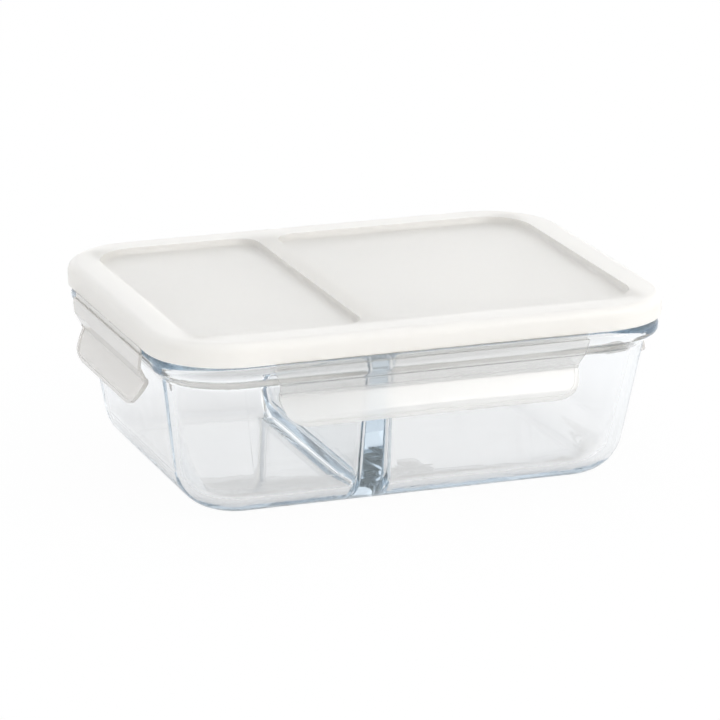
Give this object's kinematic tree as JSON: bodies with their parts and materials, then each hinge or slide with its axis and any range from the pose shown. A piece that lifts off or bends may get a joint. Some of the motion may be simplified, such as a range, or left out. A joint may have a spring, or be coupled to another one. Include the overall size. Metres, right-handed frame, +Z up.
{
  "type": "bento lunch box",
  "caption": "Rectangular glass lunch box divided into a small and a large compartment, with a translucent plastic lid, a silicone seal and flap latches on its sides.",
  "frame": {"origin": "centre of the dish's flat base, on the surface it stands on", "axes": "+Z up; +X along the long side, the small compartment at low X; -Y is the front"},
  "size_m": [0.2138, 0.1658, 0.0748],
  "materials": {
    "glass": "clear polished pressed glass, faint blue in the thick edges",
    "lid_plastic": "smooth translucent milky polypropylene",
    "latch_plastic": "smooth translucent milky polypropylene, thinner than the lid",
    "silicone": "translucent soft silicone, satin"
  },
  "bodies": {
    "dish": {"glass_dish": "glass"},
    "lid": {"lid_panel": "lid_plastic", "lid_seal": "silicone", "front_hinge_web": "latch_plastic", "rear_hinge_web": "latch_plastic", "left_hinge_web": "latch_plastic", "right_hinge_web": "latch_plastic"},
    "front_flap": {"front_latch": "latch_plastic"},
    "rear_flap": {"rear_latch": "latch_plastic"},
    "left_flap": {"left_latch": "latch_plastic"},
    "right_flap": {"right_latch": "latch_plastic"}
  },
  "joints": [
    {"name": "lid_lift", "type": "slide", "parent": "dish", "child": "lid", "axis": [0, 0, 1], "range_m": [0, 0.0225]},
    {"name": "front_latch_turn", "type": "hinge", "parent": "lid", "child": "front_flap", "pos_m": [0, -0.08075, 0.06445], "axis": [-1, 0, 0], "range_deg": [0, 130]},
    {"name": "rear_latch_turn", "type": "hinge", "parent": "lid", "child": "rear_flap", "pos_m": [0, 0.08075, 0.06445], "axis": [1, 0, 0], "range_deg": [0, 130]},
    {"name": "left_latch_turn", "type": "hinge", "parent": "lid", "child": "left_flap", "pos_m": [-0.10475, 0, 0.06445], "axis": [0, 1, 0], "range_deg": [0, 130]},
    {"name": "right_latch_turn", "type": "hinge", "parent": "lid", "child": "right_flap", "pos_m": [0.10475, 0, 0.06445], "axis": [0, -1, 0], "range_deg": [0, 130]}
  ],
  "couplings": [
    {"joint": "front_latch_turn", "follows": "lid_lift", "rad_per_m": 100},
    {"joint": "rear_latch_turn", "follows": "lid_lift", "rad_per_m": 100},
    {"joint": "left_latch_turn", "follows": "lid_lift", "rad_per_m": 100},
    {"joint": "right_latch_turn", "follows": "lid_lift", "rad_per_m": 100}
  ]
}
